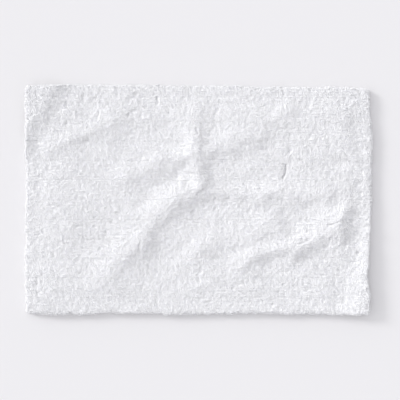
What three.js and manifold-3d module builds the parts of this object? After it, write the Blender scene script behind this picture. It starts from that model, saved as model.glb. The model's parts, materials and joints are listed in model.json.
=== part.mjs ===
// A tufted cotton bath mat, lying flat on the floor with the soft creases that folding leaves in it.
// Millimetres. X runs along the length, Y along the width, +Z up. The origin is the middle of the mat on the floor.
// From the floor up: a latex grip coat inside a frame of four folded hems, the woven ground cloth whose edges
// sit in the hems, and the cut pile, in bands of neighbouring tufting rows that run along the length.

import * as THREE from 'three';
import { mergeVertices } from 'three/addons/utils/BufferGeometryUtils.js';
import Module from 'manifold-3d';

// Overall size
const LENGTH = 914;
const WIDTH = 610;

// Pile
const PILE_HEIGHT = 22;      // tufts, above what they stand on
const PILE_OVERHANG = 7;     // tufts lean out this far past the hem
const PILE_BANDS = 12;
const CORNER_RADIUS = 14;    // of the pile's outline
const SHOULDER = 24;         // over this width the pile rounds down to its edge
const EDGE_SHARE = 0.36;     // share of the pile height that is left at the edge
const OVERHANG_FLOOR = 3;    // the outermost tufts stop this far above the floor

// Ground cloth, hems and coat
const GROUND_CLOTH = 1.2;
const HEM_PLY = 1.5;         // thickness of the hem tape, folded once round the cloth
const HEM_WIDTH = 24;
const FIT_GAP = 0.3;         // between any two pieces that touch

// Hem stitching, sunk in the underside
const THREAD_WIDTH = 1.0;
const THREAD_HEIGHT = 0.5;
const STITCH_INSET = 6;      // from the hem's inner edge to the seam's middle
const STITCH_END = 34;       // a seam stops this far short of the hem's outer corner

// Care label, lying in a hollow that it presses into the coat
const LABEL_LENGTH = 46;
const LABEL_DEPTH = 30;
const LABEL_THICKNESS = 0.4;
const LABEL_LIFT = 0.3;      // above the floor
const LABEL_PLACE = 0.62;    // along the front hem, as a share of the half length

// Creases, each with its height, how far it reaches and the points of its crest line. A point is given in shares of
// the half length and half width, with the share of the height that the crease has there.
const CREASES = [
  {
    height: 15.5,
    reach: 39,
    path: [[0.02, 0.12, 0.9], [-0.13, -0.01, 1.0], [-0.24, -0.19, 1.1], [-0.35, -0.38, 0.9], [-0.56, -0.73, 0.3]],
  },
  { height: 12.5, reach: 38, path: [[0.02, 0.95, 1.2], [-0.01, 0.67, 1.0], [0.00, 0.10, 1.0]] },
  {
    height: 13.0,
    reach: 35,
    path: [[0.25, -0.56, 0.6], [0.37, -0.46, 0.8], [0.54, -0.41, 1.0], [0.68, -0.30, 1.0], [1.0, -0.04, 1.1]],
  },
  { height: 8.5, reach: 31, path: [[0.02, -0.40, 1.0], [0.43, -0.24, 0.9]] },
  { height: 8.0, reach: 28, path: [[0.06, 0.04, 1.2], [0.70, 0.05, 0.8]] },
  { height: 6.5, reach: 28, path: [[-0.42, 0.67, 1.0], [-0.85, 0.46, 0.8]] },
  { height: 9.5, reach: 36, path: [[-0.04, 0.40, 1.1], [-0.38, 0.22, 0.9]] },
  { height: 9.0, reach: 34, path: [[0.37, 0.60, 0.9], [0.22, 0.51, 1.1], [0.04, 0.38, 1.0]] },
  { height: 6.5, reach: 30, path: [[0.50, 0.95, 1.1], [0.45, 0.62, 0.6]] },
];
const CREASE_FADE = 50;      // creases die out over this width, so that the hems lie flat

// Grid that every layer shares, so that their slopes match
const CELLS_ALONG = 22;
const FLAT_MARGIN = 6;       // flat strip inside the hem before the creases begin
const ARC_STEPS = 4;         // in a quarter turn of the hem's outer fold

// Derived places
const halfLength = LENGTH / 2;
const halfWidth = WIDTH / 2;
const hemInset = PILE_OVERHANG + HEM_WIDTH;               // from the mat's edge to the hem's inner edge
const flatInset = hemInset + FLAT_MARGIN;
const clothInset = PILE_OVERHANG + HEM_PLY + FIT_GAP;
const coatInset = hemInset + FIT_GAP;
const clothBottom = HEM_PLY + FIT_GAP;
const clothTop = clothBottom + GROUND_CLOTH;
const hemTop = clothTop + FIT_GAP + HEM_PLY;
const coatTop = HEM_PLY;                                  // the coat is level with the hem's lower leg
const bandPitch = WIDTH / PILE_BANDS;

const COLOURS = {
  pile: 0xf3f4f7,
  groundCloth: 0xeceae4,
  hem: 0xf0f0f0,
  thread: 0xf8f8f8,
  coat: 0xe4e2db,
  label: 0xfbfbfb,
};

const clothMaterial = (color) => new THREE.MeshStandardMaterial({ color, roughness: 0.95, metalness: 0 });

function named(name, geometry, color) {
  const mesh = new THREE.Mesh(geometry, clothMaterial(color));
  mesh.name = name;
  return mesh;
}

// ---- The lie of the mat ----

// A ridge along a path: at each place the highest of its stretches' bells, the share there times exp(-(d / reach)^2)
function ridge(x, y, path, reach) {
  let highest = 0;
  for (let i = 0; i + 1 < path.length; i += 1) {
    const ax = path[i][0] * halfLength;
    const ay = path[i][1] * halfWidth;
    const bx = path[i + 1][0] * halfLength - ax;
    const by = path[i + 1][1] * halfWidth - ay;
    const along = THREE.MathUtils.clamp(((x - ax) * bx + (y - ay) * by) / (bx * bx + by * by), 0, 1);
    const away = Math.hypot(x - ax - along * bx, y - ay - along * by);
    const share = THREE.MathUtils.lerp(path[i][2], path[i + 1][2], along);
    highest = Math.max(highest, share * Math.exp(-((away / reach) ** 2)));
  }
  return highest;
}

const edgeInset = (x, y) => Math.min(halfLength - Math.abs(x), halfWidth - Math.abs(y));

// Height of the cloth above where it would lie flat. The ridges blend as the cube root of their cubes' sum.
function rise(x, y) {
  let cubes = 0;
  for (const { height, reach, path } of CREASES) {
    cubes += (height * ridge(x, y, path, reach)) ** 3;
  }
  return Math.cbrt(cubes) * THREE.MathUtils.smoothstep(edgeInset(x, y), flatInset, flatInset + CREASE_FADE);
}

// ---- The shared grid ----

const mirrored = (lines) => [...lines.map((line) => -line), ...lines];

function evenLines(from, to, cells) {
  return Array.from({ length: cells + 1 }, (_, i) => from + ((to - from) * i) / cells);
}

const insetLines = (half, insets) => mirrored(insets.map((inset) => half - inset));
const rimInsets = [0.25 * SHOULDER, 0.54 * SHOULDER, hemInset + FIT_GAP, hemInset + 2];
const flatX = halfLength - flatInset;
const flatY = halfWidth - flatInset;
const creaseLinesX = evenLines(-flatX, flatX, CELLS_ALONG);
const halfBandLines = evenLines(-halfWidth, halfWidth, 2 * PILE_BANDS);
const creaseLinesY = [-flatY, ...halfBandLines.filter((y) => Math.abs(y) < flatY - 1), flatY];
const rimLinesX = insetLines(halfLength, rimInsets);
const rimLinesY = insetLines(halfWidth, rimInsets);

function linesWithin(lines, low, high) {
  const inside = lines.filter((line) => line > low + 1 && line < high - 1);
  return [low, ...inside.sort((a, b) => a - b), high];
}

// Bends the square corner of the outline to CORNER_RADIUS: each square ring round the arc's centre becomes a circle.
function roundedCorner(x, y) {
  const over = [Math.abs(x) - (halfLength - CORNER_RADIUS), Math.abs(y) - (halfWidth - CORNER_RADIUS)];
  if (over[0] <= 0 || over[1] <= 0) return [x, y];
  const shrink = Math.max(...over) / Math.hypot(...over);
  return [
    Math.sign(x) * (halfLength - CORNER_RADIUS + over[0] * shrink),
    Math.sign(y) * (halfWidth - CORNER_RADIUS + over[1] * shrink),
  ];
}

// A closed slab on a grid of lines, between two height functions.
function slab(xs, ys, bottom, top, place = (x, y) => [x, y]) {
  const positions = [];
  const faces = [];
  for (const height of [bottom, top]) {
    for (const y of ys) {
      for (const x of xs) positions.push(...place(x, y), height(x, y));
    }
  }
  const across = xs.length;
  const upper = across * ys.length;
  const quad = (a, b, c, d) => faces.push(a, b, c, a, c, d);
  for (let j = 0; j + 1 < ys.length; j += 1) {
    for (let i = 0; i + 1 < across; i += 1) {
      const a = j * across + i;
      const b = a + 1;
      const c = b + across;
      const d = a + across;
      faces.push(a, c, b, a, d, c);
      quad(upper + a, upper + b, upper + c, upper + d);
    }
  }
  const side = (a, b) => quad(a, b, upper + b, upper + a);
  const last = across * (ys.length - 1);
  for (let i = 0; i + 1 < across; i += 1) {
    side(i, i + 1);
    side(last + i + 1, last + i);
  }
  for (let j = 0; j + 1 < ys.length; j += 1) {
    side((j + 1) * across, j * across);
    side(j * across + across - 1, (j + 2) * across - 1);
  }
  const geometry = new THREE.BufferGeometry();
  geometry.setAttribute('position', new THREE.Float32BufferAttribute(positions, 3));
  geometry.setIndex(faces);
  return geometry;
}

// ---- Ground cloth and grip coat ----

function layer(inset, bottomZ, topZ) {
  const xs = linesWithin(creaseLinesX, -halfLength + inset, halfLength - inset);
  const ys = linesWithin(creaseLinesY, -halfWidth + inset, halfWidth - inset);
  return slab(xs, ys, (x, y) => bottomZ + rise(x, y), (x, y) => topZ + rise(x, y));
}

const groundCloth = () => named('ground_cloth', layer(clothInset, clothBottom, clothTop), COLOURS.groundCloth);

const labelX = LABEL_PLACE * halfLength;
const labelY = -halfWidth + coatInset + FIT_GAP + LABEL_DEPTH / 2;

function labelBlock(extra, bottomZ, topZ) {
  const block = new THREE.BoxGeometry(LABEL_LENGTH + 2 * extra, LABEL_DEPTH + 2 * extra, topZ - bottomZ);
  return block.translate(labelX, labelY, (bottomZ + topZ) / 2);
}

const careLabel = () =>
  named('care_label', labelBlock(0, LABEL_LIFT, LABEL_LIFT + LABEL_THICKNESS), COLOURS.label);

// The latex coat, with the shallow hollow that the label lies in.
function gripCoat(wasm) {
  const hollow = labelBlock(FIT_GAP, -HEM_PLY, LABEL_LIFT + LABEL_THICKNESS + FIT_GAP);
  const geometry = cut(wasm, layer(coatInset, 0, coatTop), hollow);
  return named('latex_grip_coat', geometry, COLOURS.coat);
}

function solid(wasm, geometry) {
  const bare = geometry.clone();
  bare.deleteAttribute('normal');
  bare.deleteAttribute('uv');
  const merged = mergeVertices(bare);
  return new wasm.Manifold(new wasm.Mesh({
    numProp: 3,
    vertProperties: new Float32Array(merged.attributes.position.array),
    triVerts: new Uint32Array(merged.index.array),
  }));
}

function cut(wasm, from, tool) {
  const { vertProperties, triVerts } = solid(wasm, from).subtract(solid(wasm, tool)).getMesh();
  const geometry = new THREE.BufferGeometry();
  geometry.setAttribute('position', new THREE.Float32BufferAttribute(vertProperties, 3));
  geometry.setIndex(Array.from(triVerts));
  return geometry;
}

// ---- Hems and their stitching ----

// The four sides: how far out the hem's outer edge lies, half its length there, and the turn that takes it there.
const SIDES = [
  { name: 'front', out: halfWidth - PILE_OVERHANG, half: halfLength - PILE_OVERHANG, turn: 0 },
  { name: 'right', out: halfLength - PILE_OVERHANG, half: halfWidth - PILE_OVERHANG, turn: Math.PI / 2 },
  { name: 'back', out: halfWidth - PILE_OVERHANG, half: halfLength - PILE_OVERHANG, turn: Math.PI },
  { name: 'left', out: halfLength - PILE_OVERHANG, half: halfWidth - PILE_OVERHANG, turn: -Math.PI / 2 },
];

// Section of a hem folded round the cloth's edge: u runs in from the outer fold, v is height.
function hemSection() {
  const fold = hemTop / 2;
  const seam = HEM_WIDTH - STITCH_INSET;
  const groove = THREAD_WIDTH / 2 + FIT_GAP;
  const points = [[seam - groove, 0], [seam - groove, THREAD_HEIGHT + FIT_GAP]];
  points.push([seam + groove, THREAD_HEIGHT + FIT_GAP], [seam + groove, 0]);
  points.push([HEM_WIDTH, 0], [HEM_WIDTH, HEM_PLY], [HEM_PLY, HEM_PLY]);
  points.push([HEM_PLY, hemTop - HEM_PLY], [HEM_WIDTH, hemTop - HEM_PLY], [HEM_WIDTH, hemTop]);
  for (let i = 0; i <= 2 * ARC_STEPS; i += 1) {
    const angle = Math.PI / 2 + (i * Math.PI) / (2 * ARC_STEPS);
    points.push([fold + fold * Math.cos(angle), fold + fold * Math.sin(angle)]);
  }
  return new THREE.Shape(points.map(([u, v]) => new THREE.Vector2(u, v)));
}

// Carries a section along one side. endAt(u) is where it stops, so that a mitre runs in at 45 degrees.
function alongSide(section, side, endAt) {
  const geometry = new THREE.ExtrudeGeometry(section, { depth: 1, bevelEnabled: false, steps: 1 });
  const position = geometry.attributes.position;
  for (let i = 0; i < position.count; i += 1) {
    const u = position.getX(i);
    const along = (2 * position.getZ(i) - 1) * endAt(u);
    position.setXYZ(i, along, u - side.out, position.getY(i));
  }
  geometry.computeVertexNormals();
  return geometry.rotateZ(side.turn);
}

function hem(side) {
  const mitre = FIT_GAP * Math.SQRT1_2;
  return named(`hem_${side.name}`, alongSide(hemSection(), side, (u) => side.half - u - mitre), COLOURS.hem);
}

function hemStitching(side) {
  const left = HEM_WIDTH - STITCH_INSET - THREAD_WIDTH / 2;
  const corners = [[left, 0], [left + THREAD_WIDTH, 0], [left + THREAD_WIDTH, THREAD_HEIGHT], [left, THREAD_HEIGHT]];
  const section = new THREE.Shape(corners.map(([u, v]) => new THREE.Vector2(u, v)));
  const geometry = alongSide(section, side, () => side.half - STITCH_END);
  return named(`hem_stitching_${side.name}`, geometry, COLOURS.thread);
}

// ---- Pile ----

// The tufts' feet: on the cloth inside the hems, on the hems round the rim, and hanging just past them at the edge.
function pileBottom(x, y) {
  const inset = edgeInset(x, y);
  if (inset < 1) return OVERHANG_FLOOR;
  if (inset < hemInset + 1) return hemTop + FIT_GAP;
  return clothTop + FIT_GAP + rise(x, y);
}

// The pile's top, which rounds down in a quarter circle over the shoulder.
function pileTop(x, y) {
  const short = 1 - Math.min(edgeInset(x, y) / SHOULDER, 1);
  const share = EDGE_SHARE + (1 - EDGE_SHARE) * Math.sqrt(1 - short * short);
  return clothTop + FIT_GAP + PILE_HEIGHT * share + rise(x, y);
}

function pileBand(index) {
  const low = -halfWidth + index * bandPitch + (index > 0 ? FIT_GAP / 2 : 0);
  const high = -halfWidth + (index + 1) * bandPitch - (index < PILE_BANDS - 1 ? FIT_GAP / 2 : 0);
  const xs = linesWithin([...creaseLinesX, ...rimLinesX], -halfLength, halfLength);
  const ys = linesWithin([...creaseLinesY, ...rimLinesY], low, high);
  const name = `pile_band_${String(index + 1).padStart(2, '0')}`;
  return named(name, slab(xs, ys, pileBottom, pileTop, roundedCorner), COLOURS.pile);
}

// ---- Assembly ----

const wasm = await Module();
wasm.setup();

const mat = new THREE.Group();
mat.add(groundCloth(), gripCoat(wasm), careLabel());
for (const side of SIDES) mat.add(hem(side), hemStitching(side));
for (let index = 0; index < PILE_BANDS; index += 1) mat.add(pileBand(index));

export default mat;
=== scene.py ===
"""The visual model of a tufted cotton bath mat: cut tufts over its cloth, hems, stitches and coat.

Everything is worked out for a mat that lies perfectly flat, then settled into the creases and waves that
folding left in it. Lengths are in metres, and small ones are written as a number times MM.
"""

import json
import math

import bpy
import numpy as np
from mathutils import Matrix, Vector

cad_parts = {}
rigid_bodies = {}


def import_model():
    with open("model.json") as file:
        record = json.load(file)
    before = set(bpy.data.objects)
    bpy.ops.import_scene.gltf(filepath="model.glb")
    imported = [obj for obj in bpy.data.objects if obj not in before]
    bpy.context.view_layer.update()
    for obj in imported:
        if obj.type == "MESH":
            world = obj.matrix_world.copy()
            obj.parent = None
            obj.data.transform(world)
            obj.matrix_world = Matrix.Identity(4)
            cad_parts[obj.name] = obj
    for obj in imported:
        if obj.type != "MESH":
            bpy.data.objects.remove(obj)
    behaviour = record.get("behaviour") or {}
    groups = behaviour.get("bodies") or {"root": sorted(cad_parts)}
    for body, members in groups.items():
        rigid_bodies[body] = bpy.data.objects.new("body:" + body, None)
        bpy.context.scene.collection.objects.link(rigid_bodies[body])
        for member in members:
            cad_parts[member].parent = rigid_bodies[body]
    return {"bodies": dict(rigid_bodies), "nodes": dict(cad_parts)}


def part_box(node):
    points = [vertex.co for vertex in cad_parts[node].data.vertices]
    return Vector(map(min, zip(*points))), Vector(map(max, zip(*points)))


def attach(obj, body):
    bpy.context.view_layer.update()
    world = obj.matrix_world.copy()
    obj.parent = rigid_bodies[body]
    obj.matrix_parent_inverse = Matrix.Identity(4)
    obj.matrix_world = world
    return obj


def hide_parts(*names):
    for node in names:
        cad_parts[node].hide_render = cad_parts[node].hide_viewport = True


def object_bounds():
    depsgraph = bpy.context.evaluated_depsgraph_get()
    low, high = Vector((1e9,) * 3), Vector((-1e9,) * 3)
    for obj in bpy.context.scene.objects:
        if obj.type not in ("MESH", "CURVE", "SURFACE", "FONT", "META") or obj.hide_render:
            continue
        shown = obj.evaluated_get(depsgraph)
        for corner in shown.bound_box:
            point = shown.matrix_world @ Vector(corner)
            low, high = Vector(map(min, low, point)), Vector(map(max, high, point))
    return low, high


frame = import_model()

CAD_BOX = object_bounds()
MM = 0.001

bl_info = {
    "name": "Tufted Bath Mat",
    "version": (1, 0, 0),
    "blender": (4, 5, 0),
    "location": "3D View > Sidebar > Bath Mat",
    "description": "Builds the tufts, cloth, hems, stitching, coat and label of a cotton bath mat",
    "category": "Object",
}

# ---- Sizes ----

BODY = next(iter(frame["bodies"]))
LOW, HIGH = (np.array(corner, float) for corner in CAD_BOX)
HALF = (HIGH - LOW)[:2] / 2
HEMS = ("front", "right", "back", "left")
BANDS = sorted(name for name in frame["nodes"] if name.startswith("pile_band_"))


def corners(node):
    """A node's lowest and highest corner, as arrays."""
    return tuple(np.array(corner, float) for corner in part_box(node))


HEM_LOW, HEM_HIGH = corners("hem_front")
HEM_WIDTH = HEM_HIGH[1] - HEM_LOW[1]
HEM_TOP = HEM_HIGH[2]
HEM_OUTER = np.array([HEM_HIGH[0], -HEM_LOW[1]])          # how far out the hems reach along X and Y
HEM_INSET = HALF[1] - HEM_OUTER[1] + HEM_WIDTH            # from the mat's edge to the hems' inner edge
CLOTH_LOW, CLOTH_HIGH = corners("ground_cloth")
COAT_LOW, COAT_HIGH = corners("latex_grip_coat")
LABEL_LOW, LABEL_HIGH = corners("care_label")
THREAD_LOW, THREAD_HIGH = corners("hem_stitching_front")

# Sizes that the frame's boxes don't show
CLOTH_THICKNESS = 1.2 * MM
HEM_TAPE = 1.5 * MM
FIT_GAP = 0.3 * MM
CLOTH_BOTTOM = HEM_TAPE + FIT_GAP
CLOTH_TOP = CLOTH_BOTTOM + CLOTH_THICKNESS
COAT_THICKNESS = HEM_TAPE
FLAT_MARGIN = 6 * MM       # flat strip inside the hems before the creases begin
CREASE_FADE = 50 * MM      # creases die out over this width, so that the hems lie flat
CORNER_RADIUS = 14 * MM

# Creases: height and reach (mm), and the points of the crest line in shares of the half size, each with the
# share of the height that the crease has there
CREASES = (
    (15.5, 39, ((0.02, 0.12, 0.9), (-0.13, -0.01, 1.0), (-0.24, -0.19, 1.1), (-0.35, -0.38, 0.9),
                (-0.56, -0.73, 0.3))),
    (12.5, 38, ((0.02, 0.95, 1.2), (-0.01, 0.67, 1.0), (0.00, 0.10, 1.0))),
    (13.0, 35, ((0.25, -0.56, 0.6), (0.37, -0.46, 0.8), (0.54, -0.41, 1.0), (0.68, -0.30, 1.0),
                (1.0, -0.04, 1.1))),
    (8.5, 31, ((0.02, -0.40, 1.0), (0.43, -0.24, 0.9))),
    (8.0, 28, ((0.06, 0.04, 1.2), (0.70, 0.05, 0.8))),
    (6.5, 28, ((-0.42, 0.67, 1.0), (-0.85, 0.46, 0.8))),
    (9.5, 36, ((-0.04, 0.40, 1.1), (-0.38, 0.22, 0.9))),
    (9.0, 34, ((0.37, 0.60, 0.9), (0.22, 0.51, 1.1), (0.04, 0.38, 1.0))),
    (6.5, 30, ((0.50, 0.95, 1.1), (0.45, 0.62, 0.6))),
)

# Places where the pile has parted: depth and half width in mm, and two ends in the same shares
PARTINGS = (
    (9.0, 2.9, ((0.50, 0.29), (0.48, 0.18))),
    (2.6, 2.0, ((0.82, 0.43), (0.86, 0.34))),
    (2.0, 1.8, ((0.306, 0.585), (0.31, 0.47))),
    (4.0, 2.8, ((0.56, -0.38), (0.65, -0.32))),
    (3.2, 2.6, ((0.74, -0.22), (0.84, -0.18))),
    (3.4, 3.6, ((-0.33, -0.35), (-0.33, -0.44))),
    (3.0, 3.5, ((-0.575, 0.71), (-0.56, 0.77))),
    (3.2, 4.0, ((0.00, 0.56), (-0.01, 0.60))),
    (3.2, 4.0, ((0.10, 0.74), (0.11, 0.79))),
    (3.0, 4.0, ((0.02, -0.53), (0.00, -0.70))),
    (3.5, 4.0, ((0.03, 0.08), (0.00, 0.04))),
)

# How far each edge has been drawn in (mm, negative is out) at points along it, in shares of the half size
RIGHT_EDGE = ((-1.0, 5), (-0.82, 3), (-0.66, 9), (-0.45, 4), (-0.2, 0), (0.1, -4), (0.5, -6), (0.85, -1),
              (1.0, 3))
LEFT_EDGE = ((-1.0, 0), (-0.5, -2), (-0.3, 0), (0.4, 1), (0.75, 2), (1.0, 4))
BACK_EDGE = ((-1.0, 1), (-0.5, 0), (0.0, 2), (0.5, 4), (0.85, 7), (1.0, 9))
FRONT_EDGE = ((-1.0, 2), (-0.8, -3), (-0.4, -1), (0.0, -3), (0.45, 1), (0.85, -4), (1.0, -3))

# Lifted corners: the direction out to each, and how far out along it the rise begins and ends
BACK_LEFT_RISE = ((-0.856, 0.518), 0.425, 0.482)
FRONT_RIGHT_RISE = ((0.963, -0.27), 0.425, 0.49)
FRONT_RIGHT_SHARE = 0.85   # of the back left corner's lift

# Cell sizes of the soft noises that make the listed shapes uneven
WANDER_CELL = 52 * MM      # bends in a crease's line
FINE_WANDER_CELL = 21 * MM
SPREAD_CELL = 95 * MM      # stretches where a crease is broader or narrower
SWELL_CELL = 75 * MM       # stretches where a crease is higher or lower
WAVER_CELLS = (90 * MM, 47 * MM)
EDGE_WAVE_CELL = 70 * MM
FRAY_CELL = 14 * MM
EDGE_WAVE = 1.2 * MM       # how far the edges wave and fray
FRAY = 1.5 * MM


def smooth_step(value, low, high):
    """0 below low, 1 above high, and 3t squared minus 2t cubed between."""
    t = np.clip((value - low) / (high - low), 0, 1)
    return t * t * (3 - 2 * t)


def edge_inset(x, y):
    """How far in from the nearest straight edge of the outline."""
    return np.minimum(HALF[0] - np.abs(x), HALF[1] - np.abs(y))


def stretches(x, y, path):
    """For each straight stretch of a path: how far along it (0 to 1) the nearest place is, and how far off."""
    places = [np.array(point[:2]) * HALF for point in path]
    for a, b in zip(places, places[1:]):
        step = b - a
        along = np.clip(((x - a[0]) * step[0] + (y - a[1]) * step[1]) / (step @ step), 0, 1)
        yield along, np.hypot(x - a[0] - along * step[0], y - a[1] - along * step[1])


def ridge(x, y, path, reach):
    """A ridge along a path: the highest of its stretches' bells, share times exp(-(distance/reach)^2)."""
    highest = 0
    for (along, away), a, b in zip(stretches(x, y, path), path, path[1:]):
        share = a[2] + (b[2] - a[2]) * along
        highest = np.maximum(highest, share * np.exp(-((away / reach) ** 2)))
    return highest


def rise(x, y, spread):
    """Height of the creases: the cube root of the sum of their ridges' cubes, faded to 0 near the edges.

    The reach of every ridge is multiplied by the spread.
    """
    cubes = 0
    for height, reach, path in CREASES:
        cubes = cubes + (height * MM * ridge(x, y, path, reach * MM * spread)) ** 3
    flat = HEM_INSET + FLAT_MARGIN
    return np.cbrt(cubes) * smooth_step(edge_inset(x, y), flat, flat + CREASE_FADE)


def hashed(i, j, seed):
    """A repeatable number from 0 to 1 for each pair of whole numbers: the fraction of a large sine."""
    value = np.sin(i * 127.1 + j * 311.7 + seed * 74.7) * 43758.5453
    return value - np.floor(value)


def noise(x, y, cell, seed):
    """Smooth noise from -1 to 1: hashed lattice values, blended across each cell by the smooth step."""
    u, v = x / cell, y / cell
    i, j = np.floor(u), np.floor(v)
    s, t = smooth_step(u - i, 0, 1), smooth_step(v - j, 0, 1)
    low = hashed(i, j, seed) * (1 - s) + hashed(i + 1, j, seed) * s
    high = hashed(i, j + 1, seed) * (1 - s) + hashed(i + 1, j + 1, seed) * s
    return 2 * (low * (1 - t) + high * t) - 1


def corner_rise(x, y, corner):
    """0 over most of the mat and 1 at a lifted corner: a smooth step along the direction out to it."""
    (out_x, out_y), start, end = corner
    return smooth_step(out_x * x + out_y * y, start, end)


def lie(x, y):
    """Height of the cloth above flat: creases that wander a little, a waver and the two lifted corners."""
    shape = bpy.context.scene.mat_shape
    wander_x, wander_y = (
        shape.wander * (noise(x, y, WANDER_CELL, seed) + 0.5 * noise(x, y, FINE_WANDER_CELL, seed))
        for seed in (7, 8)
    )
    spread = 1 + 0.2 * noise(x, y, SPREAD_CELL, 12)
    creases = rise(x + wander_x, y + wander_y, spread) * (1 + 0.35 * noise(x, y, SWELL_CELL, 9))
    broad, fine = (noise(x, y, cell, seed) for cell, seed in zip(WAVER_CELLS, (3, 4)))
    inside = smooth_step(edge_inset(x, y), HEM_INSET, HEM_INSET + CREASE_FADE)
    waver = shape.waver * (0.5 + 0.35 * broad + 0.3 * fine) * inside
    corners_up = corner_rise(x, y, BACK_LEFT_RISE) + FRONT_RIGHT_SHARE * corner_rise(x, y, FRONT_RIGHT_RISE)
    return shape.crease * creases + waver + shape.corner_lift * corners_up


def eased(points, at):
    """A smooth line through given (place, value) points: cubic steps between neighbours."""
    places, values = np.array(points, float).T
    k = np.clip(np.searchsorted(places, at) - 1, 0, len(places) - 2)
    t = smooth_step(at, places[k], places[k + 1])
    return values[k] * (1 - t) + values[k + 1] * t


def drawn_in(x, y):
    """Sideways shift of the whole mat: each edge is drawn in or out a little, the middle not at all."""
    along, across = np.clip(x / HALF[0], -1, 1), np.clip(y / HALF[1], -1, 1)
    right, left = (eased(edge, across) * MM for edge in (RIGHT_EDGE, LEFT_EDGE))
    back, front = (eased(edge, along) * MM for edge in (BACK_EDGE, FRONT_EDGE))
    ways = ((y, along), (x, across))
    waves = [EDGE_WAVE * noise(s, 0 * s, EDGE_WAVE_CELL, 11) * np.abs(t) ** 3 for s, t in ways]
    frays = [FRAY * noise(s, 0 * s, FRAY_CELL, 13) * np.abs(t) ** 16 for s, t in ways]
    dx = left * np.clip(-along, 0, 1) ** 3 - right * np.clip(along, 0, 1) ** 3
    dy = front * np.clip(-across, 0, 1) ** 3 - back * np.clip(across, 0, 1) ** 3
    return dx + waves[0] + frays[0], dy + waves[1] + frays[1]


def settled(points):
    """Moves flat-built points onto the creased mat, each along with the cloth at its own place."""
    x, y = points[..., 0], points[..., 1]
    dx, dy = drawn_in(x, y)
    return points + np.stack([dx, dy, lie(x, y)], axis=-1)


# ---- Meshes ----

def linear(code):
    """An sRGB hex colour as linear RGBA."""
    parts = [int(code[i:i + 2], 16) / 255 for i in (1, 3, 5)]
    return [c / 12.92 if c <= 0.04045 else ((c + 0.055) / 1.055) ** 2.4 for c in parts] + [1.0]


def mesh_piece(name, points, loops, sizes, material, uv=None, smooth=True):
    """A new piece from its points, (n, 3), its faces' corners in one row and how many each face has."""
    mesh = bpy.data.meshes.new(name)
    mesh.vertices.add(len(points))
    mesh.vertices.foreach_set("co", np.ascontiguousarray(points, np.float32).ravel())
    mesh.loops.add(len(loops))
    mesh.loops.foreach_set("vertex_index", np.ascontiguousarray(loops, np.int32))
    starts = np.concatenate([[0], np.cumsum(sizes)[:-1]])
    mesh.polygons.add(len(sizes))
    mesh.polygons.foreach_set("loop_start", starts.astype(np.int32))
    if uv is not None:
        layer = mesh.uv_layers.new(name="OFBake", do_init=False)
        layer.uv.foreach_set("vector", np.ascontiguousarray(uv, np.float32).ravel())
    mesh.update(calc_edges=True)
    mesh.validate()
    mesh.polygons.foreach_set("use_smooth", np.broadcast_to(smooth, len(mesh.polygons)).astype(bool))
    mesh.materials.append(material)
    piece = bpy.data.objects.new(name, mesh)
    bpy.context.scene.collection.objects.link(piece)
    return piece


def closed_grid(upper, lower):
    """Points and quads of a closed skin from two (rows, columns, 3) grids that match, the first facing up."""
    rows, columns = upper.shape[:2]
    index = np.arange(rows * columns).reshape(rows, columns)
    a, b, c, d = index[:-1, :-1], index[:-1, 1:], index[1:, 1:], index[1:, :-1]
    top = np.stack([a, b, c, d], axis=-1).reshape(-1, 4)
    bottom = np.stack([a, d, c, b], axis=-1).reshape(-1, 4) + index.size
    rim = np.concatenate([index[0, :-1], index[:-1, -1], index[-1, :0:-1], index[:0:-1, 0]])
    after = np.roll(rim, -1)
    side = np.stack([rim + index.size, after + index.size, after, rim], axis=-1)
    points = np.concatenate([upper.reshape(-1, 3), lower.reshape(-1, 3)])
    return points, np.concatenate([top, bottom, side])


def quad_piece(name, points, quads, material, smooth=True):
    """A new piece whose faces are all quads, (n, 4)."""
    return mesh_piece(name, points, quads.ravel(), np.full(len(quads), 4), material, smooth=smooth)


def laid_layer(name, low, high, bottom, top, step, material, relief=None):
    """A layer between two heights on a grid, settled on the mat. relief(x, y) raises its underside."""
    xs = np.linspace(low[0], high[0], round((high[0] - low[0]) / step) + 1)
    ys = np.linspace(low[1], high[1], round((high[1] - low[1]) / step) + 1)
    x, y = np.meshgrid(xs, ys)
    upper = np.stack([x, y, np.full_like(x, top)], axis=-1)
    lower = np.stack([x, y, np.full_like(x, bottom) + (relief(x, y) if relief else 0)], axis=-1)
    points, quads = closed_grid(upper, lower)
    return quad_piece(name, settled(points), quads, material)


# ---- Materials ----

def add_node(material, kind, settings=(), links=()):
    """Adds a node of a kind, sets its properties and sockets, and links {input: source socket}."""
    node = material.node_tree.nodes.new(kind)
    for key, value in dict(settings).items():
        if isinstance(key, str) and hasattr(node, key):
            setattr(node, key, value)
        else:
            node.inputs[key].default_value = value
    for key, source in dict(links).items():
        material.node_tree.links.new(source, node.inputs[key])
    return node


def new_material(name, roughness, sheen=0.0, specular=0.3):
    """An empty Principled material with its constant values on the shader's own sockets."""
    material = bpy.data.materials.new(name)
    material.use_nodes = True
    shader = material.node_tree.nodes["Principled BSDF"]
    shader.inputs["Roughness"].default_value = roughness
    shader.inputs["Sheen Weight"].default_value = sheen
    shader.inputs["Specular IOR Level"].default_value = specular
    return material, shader


def ramp_colours(node, stops):
    """Sets a colour ramp's stops from (position, hex colour) pairs."""
    ramp = node.color_ramp
    ramp.elements[0].position, ramp.elements[0].color = stops[0][0], linear(stops[0][1])
    ramp.elements[1].position, ramp.elements[1].color = stops[-1][0], linear(stops[-1][1])
    for position, code in stops[1:-1]:
        ramp.elements.new(position).color = linear(code)


YARN_SHADES = 8      # columns of the yarn's own map, each a yarn of its own shade
WAVE_PITCH = 0.314   # spacing in metres of a wave texture's bands at scale 1


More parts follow.
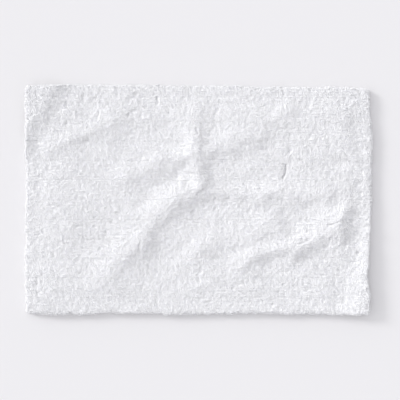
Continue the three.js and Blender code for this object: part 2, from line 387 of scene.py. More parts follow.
def pile_yarn():
    """Bleached cotton pile yarn, cut and fluffed: very white and matt, with a soft sheen at the rims.

    The map's columns are yarns of slightly different shade. Up a column runs one yarn, from its foot to its
    tip, painted a little darker towards the foot: painted shade deep in the pile.
    """
    material, shader = new_material("bleached_cotton_pile_yarn", 0.92, sheen=0.25, specular=0.15)
    place = add_node(material, "ShaderNodeUVMap", {"uv_map": "OFBake"})
    parts = add_node(material, "ShaderNodeSeparateXYZ", links={0: place.outputs[0]})
    # Painted shade: the yarn's colour is a little darker towards its foot, deep in the pile
    along = add_node(material, "ShaderNodeValToRGB", links={"Fac": parts.outputs["Y"]})
    ramp_colours(along, [(0.0, "#f7f7f9"), (0.35, "#fafafb"), (1.0, "#fcfcfd")])
    column = add_node(material, "ShaderNodeMath", {"operation": "MULTIPLY", 1: YARN_SHADES},
                      {0: parts.outputs["X"]})
    whole = add_node(material, "ShaderNodeMath", {"operation": "FLOOR"}, {0: column.outputs[0]})
    pick = add_node(material, "ShaderNodeTexWhiteNoise", {"noise_dimensions": "1D"}, {"W": whole.outputs[0]})
    shade = add_node(material, "ShaderNodeValToRGB", links={"Fac": pick.outputs["Value"]})
    ramp_colours(shade, [(0.0, "#fcfcfe"), (0.5, "#fefefe"), (1.0, "#ffffff")])
    mix = add_node(material, "ShaderNodeMix", {"data_type": "RGBA", "blend_type": "MULTIPLY", 0: 1.0},
                   {6: along.outputs[0], 7: shade.outputs[0]})
    material.node_tree.links.new(mix.outputs[2], shader.inputs["Base Color"])
    return material


def woven(name, code_low, code_high, pitch, depth, sheen=0.1):
    """Cloth with crossing threads: the product of two waves at right angles gives its tone and its relief."""
    material, shader = new_material(name, 0.9, sheen=sheen)
    place = add_node(material, "ShaderNodeTexCoord").outputs["Object"]
    warp, weft = (
        add_node(material, "ShaderNodeTexWave",
                 {"bands_direction": way, "Scale": WAVE_PITCH / pitch, "Distortion": 0.4}, {"Vector": place})
        for way in "XY"
    )
    cross = add_node(material, "ShaderNodeMath", {"operation": "MULTIPLY"},
                     {0: warp.outputs[1], 1: weft.outputs[1]})
    tone = add_node(material, "ShaderNodeValToRGB", links={"Fac": cross.outputs[0]})
    ramp_colours(tone, [(0.0, code_low), (1.0, code_high)])
    bump = add_node(material, "ShaderNodeBump", {"Strength": 0.5, "Distance": depth},
                    {"Height": cross.outputs[0]})
    material.node_tree.links.new(tone.outputs[0], shader.inputs["Base Color"])
    material.node_tree.links.new(bump.outputs[0], shader.inputs["Normal"])
    return material


# ---- Settings ----

def length_setting(name, description, default):
    """A size in metres."""
    return bpy.props.FloatProperty(
        name=name, description=description, default=default, unit="LENGTH", precision=4
    )


def share_setting(name, description, default):
    """A share of something, usually from 0 to 1."""
    return bpy.props.FloatProperty(name=name, description=description, default=default, subtype="FACTOR")


def strength_setting(name, description, default):
    """A light's strength."""
    return bpy.props.FloatProperty(name=name, description=description, default=default)


class MatShape(bpy.types.PropertyGroup):
    """How the mat lies."""

    crease: share_setting("Crease", "Share of the full height of the creases", 1.0)
    wander: length_setting("Wander", "How far the creases stray from their smooth lines", 9 * MM)
    waver: length_setting("Waver", "Height of the slight unevenness between the creases", 7.5 * MM)
    corner_lift: length_setting("Corner lift", "How far the back left corner stands up", 14 * MM)


class PileShape(bpy.types.PropertyGroup):
    """The tufts."""

    row_gauge: length_setting("Row gauge", "Distance between neighbouring tufting rows", 4.3 * MM)
    stitch: length_setting("Stitch", "Distance between neighbouring tufts in a row", 3.9 * MM)
    height: length_setting("Height", "Length of a tuft above its cloth", 23 * MM)
    yarn: length_setting("Yarn", "Radius of one strand of pile yarn", 1.75 * MM)
    clump: length_setting("Clump", "Size of the clumps that the tufts gather into", 8.5 * MM)
    lump: length_setting("Lump", "Height of the unevenness of the pile's surface", 3.5 * MM)
    gather: share_setting("Gather", "How far a clump's tips draw together, negative for apart", -0.3)
    tousle: share_setting("Tousle", "How far single strands lean their own way", 0.38)
    loose: length_setting("Loose", "Length of the tips that stand loose above the felted depth", 2.3 * MM)


class StageLook(bpy.types.PropertyGroup):
    """The floor and the light."""

    floor: bpy.props.FloatVectorProperty(name="Floor", description="Colour of the floor", subtype="COLOR",
                                         default=linear("#e4e3e4")[:3])
    sky: strength_setting("Sky", "Strength of the even light", 0.77)
    key: strength_setting("Key", "Strength of the key light", 1.3)
    window: strength_setting("Window", "Strength of the wide, soft light", 0.85)


# ---- Pile ----

# The side of the pile: distances up along it from its foot, and how it leans there (0 upright, 90 level)
SIDE_KNOTS = (0, 6 * MM, 11 * MM, 31 * MM)
SIDE_LEANS = np.radians((-24, 0, 0, 90))
SIDE_FOOT = 2.5 * MM           # height of the foot above the floor
THIN_SKIN = 1.2                # less skin than this, in squared steps, is too thin to take a normal from

# The unevenness of the pile's surface: cell sizes, and shares of the settings' lump height
STRIP_CELL, STRIP_SHARE = 42 * MM, 0.5     # long strips along the rows
ROUGH_CELL, ROUGH_SHARE = 15 * MM, 0.5
OWN_SHARE = 0.3                            # each clump's own height
DOME_SHARE, DOME_REACH = 0.4, 0.62         # each clump's dome, and its radius as a share of the clump's size
SIDE_SHARE = 0.7                           # how much more uneven the sides are
GROOVE_DEPTH, GROOVE_CELL = 1.1 * MM, 60 * MM   # between pairs of rows, where rows show
PIT_DEPTH, PIT_CELL, PIT_LEVEL = 10 * MM, 15 * MM, 0.62
PIT_PATCH_CELL = 120 * MM                  # patches with more pits and with fewer
WARP, WARP_CELL = 4.5 * MM, 11 * MM        # how crooked the partings are
CLUMP_SPAN = np.array([1.25, 0.88])        # a clump's spacing along the rows and across them, in clump sizes
CLUMP_JITTER = 0.9

# The felted depth of the pile
CORE_STEP = 2.6 * MM
CORE_INSET = 6 * MM            # of its foot, inside the side
CORE_GAP = 0.2 * MM            # above what it stands on
CORE_LIP = (6.5 * MM, 7.5 * MM)   # between these insets its underside steps down beside the hem

# The loose tips: strands to a tuft, how far out they stand in it, and each strand's shape
STRANDS = 3
STRAND_SPREAD = (1.0 * MM, 0.8 * MM)
SHOULDER = 0.8                 # share of a strand's length below its tapered tip
TWIST = 0.9                    # radians, from foot to tip
SUNK = 1.5 * MM                # length of a strand inside the felted depth
LEAN_SHARES = (0.65, 1.0)      # of the tousle, along the rows and across them
PATCH_LEANS, PATCH_CELLS = (0.2, 0.25), (16 * MM, 20 * MM)   # patches whose strands lean alike
TUFT_JITTER = (1.2 * MM, 1.0 * MM)
LOWEST = 0.3 * MM              # of any strand, above the floor
MAP_MARGIN = 0.06              # of a column of the yarn's map, left free at each side


def side_profile():
    """Distances up the side, and the inset and height at each: running sums of the lean's sine and cosine."""
    q = np.linspace(0, SIDE_KNOTS[-1], 121)
    lean = np.interp(q, SIDE_KNOTS, SIDE_LEANS)
    step = np.diff(q)
    middle = (lean[1:] + lean[:-1]) / 2
    inset = np.concatenate([[0], np.cumsum(np.sin(middle) * step)])
    height = np.concatenate([[0], np.cumsum(np.cos(middle) * step)])
    return q, inset - inset.min(), SIDE_FOOT + height


SIDE_Q, SIDE_INSET, SIDE_HEIGHT = side_profile()
UNROLLED = HALF + SIDE_KNOTS[-1] - SIDE_INSET[-1]  # half size of the pile with its sides rolled out flat


def inset_at(q):
    """How far in from the mat's edge a point lies that is q up from the foot of its side."""
    return np.interp(q, SIDE_Q, SIDE_INSET) + np.maximum(q - SIDE_Q[-1], 0)


def rounded_corner(x, y):
    """Bends the outline's square corner: each square ring round the arc's centre becomes a circle."""
    over_x = np.abs(x) - (HALF[0] - CORNER_RADIUS)
    over_y = np.abs(y) - (HALF[1] - CORNER_RADIUS)
    at_corner = (over_x > 0) & (over_y > 0)
    shrink = np.maximum(over_x, over_y) / np.maximum(np.hypot(over_x, over_y), 1e-9)
    new_x = np.sign(x) * (HALF[0] - CORNER_RADIUS + over_x * shrink)
    new_y = np.sign(y) * (HALF[1] - CORNER_RADIUS + over_y * shrink)
    return np.where(at_corner, new_x, x), np.where(at_corner, new_y, y)


def pile_skin(p, r):
    """The pile's smooth outer skin over the unrolled plane: level on top, down its sides, then settled."""
    q_x, q_y = UNROLLED[0] - np.abs(p), UNROLLED[1] - np.abs(r)
    x, y = rounded_corner(np.sign(p) * (HALF[0] - inset_at(q_x)), np.sign(r) * (HALF[1] - inset_at(q_y)))
    share = (CLOTH_TOP + bpy.context.scene.mat_pile.height) / SIDE_HEIGHT[-1]
    z = np.interp(np.minimum(q_x, q_y), SIDE_Q, SIDE_HEIGHT) * share
    return settled(np.stack([x, y, z], axis=-1))


def pile_frame(p, r, step=1.5 * MM):
    """The skin's points, unit normals and tangents along and across the rows, by central differences.

    Where two sides share one thin strip of skin at a corner, the normal points straight out between them.
    """
    along = pile_skin(p + step, r) - pile_skin(p - step, r)
    across = pile_skin(p, r + step) - pile_skin(p, r - step)
    normal = np.cross(along, across)
    thin = np.linalg.norm(normal, axis=-1, keepdims=True) < THIN_SKIN * step ** 2
    normal = np.where(thin, np.stack([np.sign(p), np.sign(r), 0.3 + 0 * p], axis=-1), normal)
    unit = [v / np.maximum(np.linalg.norm(v, axis=-1, keepdims=True), 1e-12) for v in (normal, along, across)]
    return pile_skin(p, r), *unit


def clump_centres(x, y, size):
    """The nearest centre of a jittered lattice: its place, a number of its own and how far away it is."""
    span = CLUMP_SPAN * size
    u, v = np.floor(x / span[0]), np.floor(y / span[1])
    best = np.full(x.shape, np.inf)
    found = [np.zeros_like(x), np.zeros_like(x), np.zeros_like(x)]
    for di in (-1, 0, 1):
        for dj in (-1, 0, 1):
            i, j = u + di, v + dj
            cx = (i + 0.5 + CLUMP_JITTER * (hashed(i, j, 41) - 0.5)) * span[0]
            cy = (j + 0.5 + CLUMP_JITTER * (hashed(i, j, 42) - 0.5)) * span[1]
            distance = np.hypot(x - cx, y - cy)
            closer = distance < best
            best = np.where(closer, distance, best)
            found = [np.where(closer, new, old) for new, old in zip((cx, cy, hashed(i, j, 43)), found)]
    return (*found, best)


def lumps(p, r):
    """Depth of the pile's surface below its smooth skin.

    It is the sum of strips along the rows, roughness, domed clumps, grooves between rows, pits and partings.
    """
    settings = bpy.context.scene.mat_pile
    strips = 0.5 + 0.5 * noise(p, 2.2 * r, STRIP_CELL, 61)
    rough = 0.5 + 0.5 * noise(p, 1.6 * r, ROUGH_CELL, 62)
    _, _, own, distance = clump_centres(p, r, settings.clump)
    dome = np.clip(distance / (DOME_REACH * settings.clump), 0, 1) ** 2
    uneven = STRIP_SHARE * strips + ROUGH_SHARE * rough + OWN_SHARE * own + DOME_SHARE * dome
    depth = settings.lump * uneven
    rows_show = np.clip(0.5 + noise(p, r, GROOVE_CELL, 67), 0, 1)
    depth = depth + GROOVE_DEPTH * rows_show * (0.5 + 0.5 * np.cos(math.pi * r / settings.row_gauge))
    up_side = np.minimum(UNROLLED[0] - np.abs(p), UNROLLED[1] - np.abs(r))
    depth = depth * (1 + SIDE_SHARE * (1 - smooth_step(up_side, 0.6 * SIDE_Q[-1], 1.3 * SIDE_Q[-1])))
    patches = 0.8 + 0.5 * noise(p, r, PIT_PATCH_CELL, 64)
    depth = depth + PIT_DEPTH * np.clip(noise(p, 1.3 * r, PIT_CELL, 63) * patches - PIT_LEVEL, 0, 1)
    warped = p + WARP * noise(p, r, WARP_CELL, 65), r + WARP * noise(p, r, WARP_CELL, 66)
    for deep, wide, ends in PARTINGS:
        for _, gap in stretches(*warped, ends):
            depth = depth + deep * MM * np.exp(-((gap / (wide * MM)) ** 2))
    return depth


def matted_core(low_r, high_r, settings):
    """The felted depth of the pile between two lines: a lumpy skin on a fine grid, closed beneath.

    Gives its points, its quads and which of these are skin, to be shaded as one smooth surface.
    """
    ps = np.linspace(-UNROLLED[0], UNROLLED[0], round(2 * UNROLLED[0] / CORE_STEP))
    rs = np.linspace(low_r, high_r, round((high_r - low_r) / CORE_STEP) + 1)
    p, r = np.meshgrid(ps, rs)
    skin, normal, _, _ = pile_frame(p, r)
    upper = skin - (lumps(p, r) + settings.loose)[..., None] * normal
    end_q, end_inset = SIDE_Q[-1], SIDE_INSET[-1]
    under_x, under_y = (
        np.where(q < end_q, CORE_INSET + (end_inset - CORE_INSET) * q / end_q, inset_at(q))
        for q in (UNROLLED[0] - np.abs(p), UNROLLED[1] - np.abs(r))
    )
    x, y = rounded_corner(np.sign(p) * (HALF[0] - under_x), np.sign(r) * (HALF[1] - under_y))
    inset = edge_inset(x, y)
    z = np.where(inset < HEM_INSET + 1 * MM, HEM_TOP + CORE_GAP, CLOTH_TOP + CORE_GAP)
    z = z - (HEM_TOP - SIDE_FOOT) * (1 - smooth_step(inset, *CORE_LIP))
    points, quads = closed_grid(upper, settled(np.stack([x, y, z], axis=-1)))
    return points, quads, np.arange(len(quads)) < (p.shape[0] - 1) * (p.shape[1] - 1)


def tuft_places(low_r, high_r, settings):
    """Places of the tufts between two lines of the unrolled pile: a grid of gauge by stitch, jittered."""
    first = math.ceil((low_r + UNROLLED[1]) / settings.row_gauge - 0.5)
    last = math.ceil((high_r + UNROLLED[1]) / settings.row_gauge - 0.5)
    count = int(2 * UNROLLED[0] / settings.stitch)
    row, tuft = np.meshgrid(np.arange(first, last), np.arange(count), indexing="ij")
    row, tuft = row.ravel(), tuft.ravel()
    off_p, off_r = (size * (hashed(row, tuft, seed) - 0.5) for size, seed in zip(TUFT_JITTER, (1, 2)))
    p = -UNROLLED[0] + (tuft + 0.25 + 0.5 * (row % 2)) * settings.stitch + off_p
    r = -UNROLLED[1] + (row + 0.5) * settings.row_gauge + off_r
    return p, r, row, tuft


def strand_points(root, reach, radius, turn):
    """Points of each strand, (n, 7, 3): a ring of three at the foot, a ring at the shoulder, and the tip."""
    t = np.array([0.0, SHOULDER])
    ahead = reach / np.maximum(np.linalg.norm(reach, axis=-1, keepdims=True), 1e-9)
    facing = np.stack([np.cos(turn), np.sin(turn), 0.3 + 0 * turn], axis=-1)
    across = np.cross(ahead, facing)
    across /= np.linalg.norm(across, axis=-1, keepdims=True)
    other = np.cross(ahead, across)
    angle = np.radians([0, 120, 240])[None, :] + TWIST * t[:, None]
    cos, sin = (f(angle)[None, :, :, None] for f in (np.cos, np.sin))
    ring = cos * across[:, None, None, :] + sin * other[:, None, None, :]
    centre = root[:, None, None, :] + t[None, :, None, None] * reach[:, None, None, :]
    rings = centre + radius[:, None, None, None] * ring
    return np.concatenate([rings.reshape(len(root), 6, 3), (root + reach)[:, None, :]], axis=1)


def strand_faces():
    """Corners, sizes and map of one strand's faces: its foot, a belt of quads and a tip of triangles."""
    loops, sizes, uv = [0, 2, 1], [3], [(0.5, 0.0)] * 3
    for k in range(3):
        n = (k + 1) % 3
        loops += [k, n, 3 + n, 3 + k]
        sizes.append(4)
        uv += [(k / 3, 0), ((k + 1) / 3, 0), ((k + 1) / 3, SHOULDER), (k / 3, SHOULDER)]
    for k in range(3):
        loops += [3 + k, 3 + (k + 1) % 3, 6]
        sizes.append(3)
        uv += [(k / 3, SHOULDER), ((k + 1) / 3, SHOULDER), ((k + 0.5) / 3, 1.0)]
    return np.array(loops), np.array(sizes), np.array(uv)


def strand_lean(p, r, settings, seed_c, seed_d):
    """How far each strand leans along and across the rows: the sum of its own, patch's and clump's lean."""
    way = 2 * math.pi * seed_d
    own_p = LEAN_SHARES[0] * settings.tousle * (0.4 + seed_c) * np.cos(way)
    own_r = LEAN_SHARES[1] * settings.tousle * (0.4 + seed_c) * np.sin(way)
    lean_p = own_p + PATCH_LEANS[0] * noise(p, 2 * r, PATCH_CELLS[0], 23)
    lean_r = own_r + PATCH_LEANS[1] * noise(p, 2 * r, PATCH_CELLS[1], 24)
    centre_p, centre_r, own, _ = clump_centres(p, r, settings.clump)
    gather = settings.gather * (0.5 + own) / (settings.loose + SUNK)
    return lean_p + gather * (centre_p - p), lean_r + gather * (centre_r - r)


def loose_strands(low_r, high_r, settings):
    """Points, faces' corners, sizes and map of the loose tips: a ring of strands round each tuft's place."""
    p, r, row, tuft = tuft_places(low_r, high_r, settings)
    strand = np.tile(np.arange(STRANDS), len(p))
    p, r, row, tuft = (np.repeat(values, STRANDS) for values in (p, r, row, tuft))
    seed_a, seed_b, seed_c, seed_d = (hashed(row, tuft, 5 + k + 4 * strand) for k in range(4))
    angle = 2 * math.pi * (strand / STRANDS + seed_a)
    p, r = p + STRAND_SPREAD[0] * np.cos(angle), r + STRAND_SPREAD[1] * np.sin(angle)
    skin, normal, along, across = pile_frame(p, r)
    lean_p, lean_r = strand_lean(p, r, settings, seed_c, seed_d)
    reach = normal + lean_p[:, None] * along + lean_r[:, None] * across
    sunk = settings.loose + SUNK
    length = sunk * (0.87 + 0.26 * seed_b)
    reach *= (length / np.linalg.norm(reach, axis=-1))[:, None]
    root = skin - (lumps(p, r) + sunk)[:, None] * normal
    radius = settings.yarn * (0.85 + 0.3 * seed_c)
    up = np.maximum(UNROLLED[0] - np.abs(p), UNROLLED[1] - np.abs(r))
    kept = up > SIDE_KNOTS[2]  # lower down at a corner, the two sides' strands would stand in each other
    points = strand_points(root[kept], reach[kept], radius[kept], 2 * math.pi * seed_b[kept])
    points[..., 2] = np.maximum(points[..., 2], LOWEST)
    loops, sizes, uv = strand_faces()
    count, corners_each = points.shape[:2]
    all_loops = (loops[None, :] + corners_each * np.arange(count)[:, None]).ravel()
    shade = np.floor(hashed(row[kept], tuft[kept], 71) * YARN_SHADES)
    all_uv = np.tile(uv, (count, 1, 1))
    all_uv[..., 0] = (shade[:, None] + MAP_MARGIN + (1 - 2 * MAP_MARGIN) * all_uv[..., 0]) / YARN_SHADES
    return points.reshape(-1, 3), all_loops, np.tile(sizes, count), all_uv.reshape(-1, 2)


def pile_band(node, name, settings, material):
    """One band of tufting rows: its felted depth and the loose tips of its tufts."""
    low, high = corners(node)
    low_r = -UNROLLED[1] if low[1] < -HALF[1] + MM else low[1] - FIT_GAP / 2
    high_r = UNROLLED[1] if high[1] > HALF[1] - MM else high[1] + FIT_GAP / 2
    core, quads, skin = matted_core(low_r, high_r, settings)
    tips, loops, sizes, uv = loose_strands(low_r, high_r, settings)
    core_uv = np.tile([0.5 / YARN_SHADES, 0.5], (quads.size, 1))
    piece = mesh_piece(
        name,
        np.concatenate([core, tips]),
        np.concatenate([quads.ravel(), loops + len(core)]),
        np.concatenate([np.full(len(quads), 4), sizes]),
        material,
        uv=np.concatenate([core_uv, uv]),
        smooth=np.concatenate([skin, np.full(len(sizes), True)]),
    )
    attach(piece, BODY)
    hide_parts(node)
    return piece


class MAT_OT_pile(bpy.types.Operator):
    """Builds the cut pile, one piece for each band of tufting rows"""

    bl_idname = "bath_mat.pile"
    bl_label = "Cut pile"

    def execute(self, context):
        material = pile_yarn()
        for node in BANDS:
            pile_band(node, "tufts_" + node[-2:], context.scene.mat_pile, material)
        return {"FINISHED"}


class MAT_OT_cloth(bpy.types.Operator):
    """Builds the woven ground cloth that the tufts stand in"""

    bl_idname = "bath_mat.cloth"
    bl_label = "Ground cloth"

    step = 8 * MM

    def execute(self, context):
        # Undyed cotton in plain weave: a warm off-white, matt, with its threads to be seen
        material = woven("undyed_plain_weave_cotton", "#d8d4ca", "#efece4", 1.1 * MM, 0.3 * MM)
        cloth = laid_layer(
            "woven_ground_cloth", CLOTH_LOW, CLOTH_HIGH, CLOTH_BOTTOM, CLOTH_TOP, self.step, material
        )
        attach(cloth, BODY)
        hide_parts("ground_cloth")
        return {"FINISHED"}


class MAT_OT_coat(bpy.types.Operator):
    """Builds the latex coat on the underside, hollowed where the label lies"""

    bl_idname = "bath_mat.coat"
    bl_label = "Latex coat"

    step = 4 * MM
    hollow_edge = (1 * MM, 5 * MM)  # out from the label, where its hollow begins and has ended

    def execute(self, context):
        # Latex foam coat cast on a ribbed belt: cream, matt, with small crossing ribs
        material = woven("ribbed_cream_latex", "#d9d5c8", "#e8e5db", 2.2 * MM, 0.4 * MM, sheen=0.0)
        hollow = LABEL_HIGH[2] + FIT_GAP

        def relief(x, y):
            """Raises the underside over the label, with a soft edge."""
            out_x = np.maximum(LABEL_LOW[0] - x, x - LABEL_HIGH[0])
            out_y = np.maximum(LABEL_LOW[1] - y, y - LABEL_HIGH[1])
            return hollow * (1 - smooth_step(np.maximum(out_x, out_y), *self.hollow_edge))

        coat = laid_layer("latex_coat", COAT_LOW, COAT_HIGH, 0.0, COAT_THICKNESS, self.step, material, relief)
        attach(coat, BODY)
        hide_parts("latex_grip_coat")
        return {"FINISHED"}


HEM_EDGE, HEM_INNER_EDGE = 0.4 * MM, 0.3 * MM   # how far the tape's cut edges are rounded, outside and in
SLOT_END = 1 * MM                                # depth of the rounded end of the slot that takes the cloth
GROOVE, GROOVE_REACH = 0.75 * MM, 1.1 * MM       # that the seam draws into the underside


def seam_inset():
    """How far in from a hem's outer fold its seam runs."""
    return (THREAD_LOW[1] + THREAD_HIGH[1]) / 2 - HEM_LOW[1]


def hem_section():
    """Closed section of a folded hem, (n, 2): u in from its outer fold and v up.

    The fold is a half circle. The seam draws a groove exp(-(distance/reach)^2) into the underside.
    """
    fold, soft, small = HEM_TOP / 2, HEM_EDGE, HEM_INNER_EDGE
    ply_top, ply_low = HEM_TAPE, HEM_TOP - HEM_TAPE
    u = np.linspace(fold, HEM_WIDTH - soft, 26)
    under = np.stack([u, GROOVE * np.exp(-((u - seam_inset()) / GROOVE_REACH) ** 2)], axis=-1)
    inner_low = [(HEM_WIDTH, soft), (HEM_WIDTH, ply_top - small), (HEM_WIDTH - small, ply_top)]
    slot = [(HEM_TAPE + SLOT_END, ply_top), (HEM_TAPE, fold), (HEM_TAPE + SLOT_END, ply_low)]
    inner_high = [(HEM_WIDTH - small, ply_low), (HEM_WIDTH, ply_low + small), (HEM_WIDTH, HEM_TOP - soft),
                  (HEM_WIDTH - soft, HEM_TOP)]
    angle = np.linspace(math.pi / 2, 3 * math.pi / 2, 12)
    arc = np.stack([fold + fold * np.cos(angle), fold + fold * np.sin(angle)], axis=-1)
    return np.concatenate([under, inner_low, slot, inner_high, arc[:-1]])


def side_frame(side):
    """Directions along a side and in from its edge, how far out it lies and half its length."""
    along = {"front": (1, 0), "right": (0, 1), "back": (-1, 0), "left": (0, -1)}[side]
    inward = (-along[1], along[0])
    lengthwise = along[0] != 0
    out, half = (HEM_OUTER[1], HEM_OUTER[0]) if lengthwise else (HEM_OUTER[0], HEM_OUTER[1])
    return np.array(along, float), np.array(inward, float), out, half


def place_on_side(side, along, u, v):
    """Points from distances along a side, in from its outer edge and up."""
    direction, inward, out, _ = side_frame(side)
    flat = along[..., None] * direction + (u - out)[..., None] * inward
    return np.concatenate([flat, v[..., None]], axis=-1)


class MAT_OT_hems(bpy.types.Operator):
    """Builds the four folded hems, mitred at the corners"""

    bl_idname = "bath_mat.hems"
    bl_label = "Hems"

    step = 4 * MM
    mitre_gap = 0.25 * MM

    def execute(self, context):
        # Bleached cotton tape, woven close: white and matt, with a fine even grain
        material = woven("white_cotton_twill_tape", "#dcdcdc", "#f6f6f6", 0.9 * MM, 0.25 * MM)
        section = hem_section()
        for side in HEMS:
            half = side_frame(side)[3]
            share = np.linspace(-1, 1, round(2 * half / self.step))[:, None]
            along = share * (half - section[:, 0] - self.mitre_gap)
            u, v = (np.broadcast_to(values, along.shape) for values in section.T)
            points = settled(place_on_side(side, along, u, v))
            piece = self.tube("folded_hem_" + side, points, material)
            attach(piece, BODY)
            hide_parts("hem_" + side)
        return {"FINISHED"}

    def tube(self, name, points, material):
        """Skins rings of points, (rings, around, 3), into a closed strip with one flat face at each end."""
        rings, around = points.shape[:2]
        index = np.arange(rings * around).reshape(rings, around)
        after = np.roll(index, -1, axis=1)
        quads = np.stack([index[:-1], after[:-1], after[1:], index[1:]], axis=-1).reshape(-1, 4)
        loops = np.concatenate([quads.ravel(), index[0, ::-1], index[-1]])
        sizes = np.concatenate([np.full(len(quads), 4), [around, around]])
        return mesh_piece(name, points.reshape(-1, 3), loops, sizes, material)


class MAT_OT_stitching(bpy.types.Operator):
    """Builds the rows of lockstitches that hold the hems"""

    bl_idname = "bath_mat.stitching"
    bl_label = "Stitching"

    pitch = 3.2 * MM
    stitch_share = 0.88                   # of the pitch, the rest is the hole between two stitches
    middle, lift = 0.38 * MM, 0.34 * MM   # height of a stitch's middle, and half its own height

    def execute(self, context):
        """Each stitch is a tube, its radius the square root of 1 - (2t - 1)^4 over its length t, 0 to 1."""
        material = self.thread()
        seam = seam_inset()
        thick = (THREAD_HIGH[1] - THREAD_LOW[1]) / 2
        t = np.linspace(0, 1, 7)
        bulge = np.sqrt(np.clip(1 - (2 * t - 1) ** 4, 0.02, 1))
        angle = np.linspace(0, 2 * math.pi, 6, endpoint=False)
        for side in HEMS:
            low, high = corners("hem_stitching_" + side)
            half = float(max(high[0] - low[0], high[1] - low[1])) / 2
            count = int(2 * half / self.pitch)
            start = -half + self.pitch * np.arange(count)
            along = start[:, None, None] + self.stitch_share * self.pitch * t[None, :, None] + 0 * angle
            u = seam + thick * bulge[None, :, None] * np.cos(angle)[None, None, :] + 0 * along
            v = self.middle + self.lift * bulge[None, :, None] * np.sin(angle)[None, None, :] + 0 * along
            points = settled(place_on_side(side, along, u, v))
            piece = self.row("lockstitches_" + side, points, material)
            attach(piece, BODY)
            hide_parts("hem_stitching_" + side)
        return {"FINISHED"}

    def row(self, name, points, material):
        """Skins every stitch, (n, 7, 6, 3), as a closed grain of thread."""
        count, rings, around = points.shape[:3]
        index = np.arange(rings * around).reshape(rings, around)
        after = np.roll(index, -1, axis=1)
        quads = np.stack([index[:-1], index[1:], after[1:], after[:-1]], axis=-1).reshape(-1, 4)
        loops = np.concatenate([quads.ravel(), index[0], index[-1, ::-1]])
        sizes = np.concatenate([np.full(len(quads), 4), [around, around]])
        all_loops = (loops[None, :] + index.size * np.arange(count)[:, None]).ravel()
        return mesh_piece(name, points.reshape(-1, 3), all_loops, np.tile(sizes, count), material)

    def thread(self):
        """Spun polyester sewing thread: white, with a faint lustre and the ridges of its twist."""
        material, shader = new_material("spun_polyester_thread", 0.55, sheen=0.2)
        place = add_node(material, "ShaderNodeTexCoord")
        twist = add_node(material, "ShaderNodeTexWave",
                         {"bands_direction": "DIAGONAL", "Scale": WAVE_PITCH / (0.8 * MM)},
                         {"Vector": place.outputs["Object"]})
        tone = add_node(material, "ShaderNodeValToRGB", links={"Fac": twist.outputs[1]})
        ramp_colours(tone, [(0.0, "#e6e6e6"), (1.0, "#fbfbfb")])
        material.node_tree.links.new(tone.outputs[0], shader.inputs["Base Color"])
        return material


class MAT_OT_label(bpy.types.Operator):
    """Builds the blank care label beneath the front hem"""

    bl_idname = "bath_mat.label"
    bl_label = "Care label"

    step = 2 * MM

    def execute(self, context):
        # Polyester ribbon in satin weave: white and smooth, with the softest shine of the mat's cloths
        material = woven("white_satin_ribbon", "#ececec", "#fcfcfc", 0.5 * MM, 0.1 * MM, sheen=0.4)
        label = laid_layer(
            "blank_satin_label", LABEL_LOW, LABEL_HIGH, LABEL_LOW[2], LABEL_HIGH[2], self.step, material
        )
        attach(label, BODY)
        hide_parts("care_label")
        return {"FINISHED"}


# ---- Stage ----

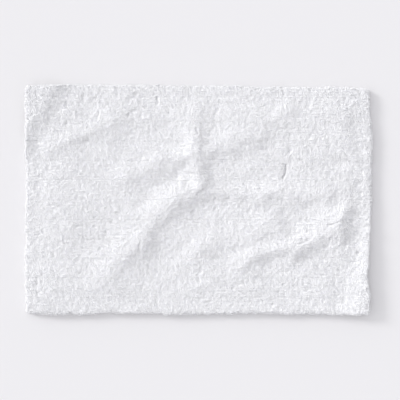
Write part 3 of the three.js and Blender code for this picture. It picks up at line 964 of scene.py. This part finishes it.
class MAT_OT_stage(bpy.types.Operator):
    """Sets the floor, the light and the camera that looks straight down"""

    bl_idname = "bath_mat.stage"
    bl_label = "Stage"

    view_width = 1.0536      # width of floor that the camera sees
    focal, sensor = 85.0, 36.0
    aim = (0.0058, -0.0013)  # the mat lies a little left of the view's middle
    floor_reach = 40.0
    floor_level = -0.3 * MM  # just clear of the mat's underside
    key_from = (-0.78, 0.38, 0.43)
    key_softness = 17.0      # degrees
    window_from = (-0.7, 0.45, 0.8)
    window_softness = 95.0
    sky_colour = "#fbfbff"

    def execute(self, context):
        scene, look = context.scene, context.scene.mat_stage
        self.floor(look)
        camera = bpy.data.objects.new("camera", bpy.data.cameras.new("camera"))
        camera.data.lens, camera.data.sensor_width = self.focal, self.sensor
        camera.location = (*self.aim, self.view_width * self.focal / self.sensor)
        scene.collection.objects.link(camera)
        scene.camera = camera
        self.lamp(scene, "key_light", look.key, self.key_from, self.key_softness)
        self.lamp(scene, "window_light", look.window, self.window_from, self.window_softness)
        world = bpy.data.worlds.new("soft_white_room")
        world.use_nodes = True
        sky = world.node_tree.nodes["Background"].inputs
        sky["Color"].default_value = linear(self.sky_colour)
        sky["Strength"].default_value = look.sky
        scene.world = world
        scene.view_settings.view_transform = "Standard"
        scene.cycles.diffuse_bounces = 12
        scene.cycles.max_bounces = 16
        return {"FINISHED"}

    def lamp(self, scene, name, strength, source, softness):
        """A far light from a direction, as soft as a source that fills this angle of view."""
        lamp = bpy.data.objects.new(name, bpy.data.lights.new(name, "SUN"))
        lamp.data.energy, lamp.data.angle = strength, math.radians(softness)
        lamp.rotation_euler = Vector(source).to_track_quat("Z", "Y").to_euler()
        scene.collection.objects.link(lamp)

    def floor(self, look):
        """A painted floor as far as can be seen: pale grey and matt, so that only soft shadows show on it."""
        material, shader = new_material("pale_painted_floor", 0.8, specular=0.2)
        shader.inputs["Base Color"].default_value = (*look.floor, 1)
        points = np.array([(-1, -1, 0), (1, -1, 0), (1, 1, 0), (-1, 1, 0)]) * self.floor_reach
        points[:, 2] = self.floor_level
        floor = quad_piece("floor", points, np.array([[0, 1, 2, 3]]), material, smooth=False)


class MAT_PT_maker(bpy.types.Panel):
    """Lists the mat's pieces and their settings"""

    bl_idname = "MAT_PT_maker"
    bl_label = "Bath Mat"
    bl_space_type = "VIEW_3D"
    bl_region_type = "UI"
    bl_category = "Bath Mat"

    def draw(self, context):
        for group in SETTINGS:
            settings = getattr(context.scene, group)
            box = self.layout.box()
            for key in settings.__annotations__:
                box.prop(settings, key)
        for operator in OPERATORS:
            self.layout.operator(operator.bl_idname)


SETTINGS = {"mat_shape": MatShape, "mat_pile": PileShape, "mat_stage": StageLook}
OPERATORS = (
    MAT_OT_stage, MAT_OT_coat, MAT_OT_cloth, MAT_OT_label, MAT_OT_hems, MAT_OT_stitching, MAT_OT_pile
)
CLASSES = (*SETTINGS.values(), *OPERATORS, MAT_PT_maker)


def register():
    """Adds the settings, the operators and the panel."""
    for kind in CLASSES:
        bpy.utils.register_class(kind)
    for name, kind in SETTINGS.items():
        setattr(bpy.types.Scene, name, bpy.props.PointerProperty(type=kind))


def unregister():
    """Takes them away again."""
    for name in SETTINGS:
        delattr(bpy.types.Scene, name)
    for kind in reversed(CLASSES):
        bpy.utils.unregister_class(kind)


def main():
    register()
    bpy.ops.bath_mat.stage()
    bpy.ops.bath_mat.coat()
    bpy.ops.bath_mat.cloth()
    bpy.ops.bath_mat.label()
    bpy.ops.bath_mat.hems()
    bpy.ops.bath_mat.stitching()
    bpy.ops.bath_mat.pile()


if __name__ == "__main__":
    main()
